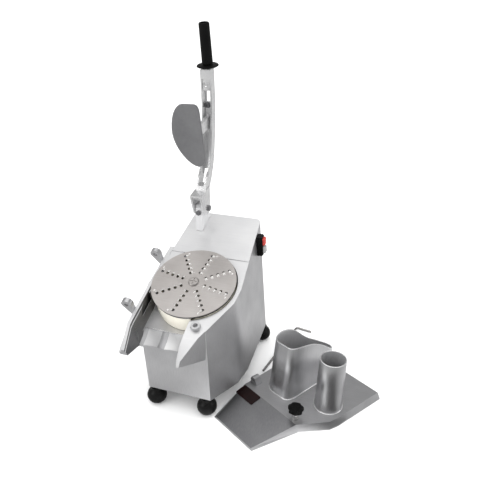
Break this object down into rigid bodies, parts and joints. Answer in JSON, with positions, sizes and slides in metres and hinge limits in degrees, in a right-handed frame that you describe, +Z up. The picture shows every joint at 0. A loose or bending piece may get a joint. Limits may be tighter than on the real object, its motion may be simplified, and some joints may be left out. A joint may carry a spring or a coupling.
{
  "type": "vegetable cutter",
  "caption": "Bench vegetable cutter with a sloping grating disc, side chute, hinged pressing lever, and its hopper lid and hinge rod taken off beside it.",
  "frame": {"origin": "floor point under the middle of the box around the whole set: machine, lid and hinge rod", "axes": "+X to the right seen from the discharge side, +Y to the rear, +Z up"},
  "size_m": [0.595, 0.48, 0.8378],
  "materials": {
    "cast_aluminium": "ground and brushed aluminium casting",
    "bright_steel": "turned stainless steel",
    "disc_steel": "stainless sheet with pressed teeth",
    "dark_steel": "dulled zinc-plated steel",
    "foot_rubber": "soft black rubber",
    "belt_rubber": "matte belt rubber",
    "black_plastic": "moulded black plastic",
    "badge_plastic": "bare dark badge plate",
    "button_plastic": "smooth black button",
    "red_plastic": "translucent red button",
    "cream_plastic": "cream food-grade plastic",
    "motor_paint": "dark painted motor casing"
  },
  "bodies": {
    "machine": {"housing": "cast_aluminium", "hinge_lug_front": "cast_aluminium", "hinge_lug_rear": "cast_aluminium", "lock_boss": "bright_steel", "base_plate": "dark_steel", "foot_front_left": "foot_rubber", "foot_front_right": "foot_rubber", "foot_rear_left": "foot_rubber", "foot_rear_right": "foot_rubber", "bearing_housing": "cast_aluminium", "bearing_upper": "bright_steel", "bearing_lower": "bright_steel", "drive_belt": "belt_rubber", "motor": "motor_paint", "motor_bracket": "dark_steel", "capacitor": "black_plastic", "microswitch": "black_plastic", "cable_gland": "black_plastic", "lever_bracket": "cast_aluminium", "hinge_pin": "dark_steel", "stop_bolt": "dark_steel", "switch_box": "black_plastic"},
    "disc": {"grating_plate": "disc_steel", "disc_carrier": "cast_aluminium", "hub_screw": "bright_steel", "ejector": "cream_plastic", "disc_shaft": "bright_steel", "driven_pulley": "cast_aluminium"},
    "rotor": {"motor_shaft": "bright_steel", "motor_pulley": "dark_steel"},
    "lever": {"lever_arm": "cast_aluminium", "guard_disc": "black_plastic", "grip": "black_plastic", "presser_plate": "cast_aluminium", "presser_bracket": "cast_aluminium"},
    "stop_button": {"stop_button": "red_plastic"},
    "start_button": {"start_button": "button_plastic"},
    "lid": {"lid_plate": "cast_aluminium", "large_hopper": "cast_aluminium", "round_hopper": "cast_aluminium", "lid_knuckle_front": "cast_aluminium", "lid_knuckle_rear": "cast_aluminium", "badge_plate": "badge_plastic"},
    "lock_knob": {"lock_knob": "black_plastic", "lock_stem": "bright_steel"},
    "hinge_rod": {"hinge_rod": "bright_steel"}
  },
  "joints": [
    {"name": "disc_spin", "type": "hinge", "parent": "machine", "child": "disc", "pos_m": [-0.15948, -0.04522, 0.2769], "axis": [0, -0.3633, 0.9317], "continuous": true},
    {"name": "motor_spin", "type": "hinge", "parent": "machine", "child": "rotor", "pos_m": [-0.15948, 0.07529, 0.19906], "axis": [0, -0.3633, 0.9317], "continuous": true},
    {"name": "lever_hinge", "type": "hinge", "parent": "machine", "child": "lever", "pos_m": [-0.20898, 0.14748, 0.389], "axis": [1, 0, 0], "range_deg": [0, 102]},
    {"name": "stop_press", "type": "slide", "parent": "machine", "child": "stop_button", "axis": [-0.9958, -0.0449, -0.0797], "range_m": [0, 0.003], "stiffness_N_per_m": 400},
    {"name": "start_press", "type": "slide", "parent": "machine", "child": "start_button", "axis": [-0.9958, -0.0449, -0.0797], "range_m": [0, 0.003], "stiffness_N_per_m": 400},
    {"name": "lid_lift", "type": "slide", "parent": "machine", "child": "lid", "axis": [0.7071, 0, 0.7071], "range_m": [0, 0.2]},
    {"name": "lock_knob_turn", "type": "hinge", "parent": "lid", "child": "lock_knob", "pos_m": [0.11779, -0.13506, 0.0391], "axis": [0, 0, 1], "continuous": true},
    {"name": "rod_lift", "type": "slide", "parent": "machine", "child": "hinge_rod", "axis": [0, 0, 1], "range_m": [0, 0.2]}
  ],
  "couplings": [
    {"joint": "motor_spin", "follows": "disc_spin", "ratio": 4.3636}
  ]
}
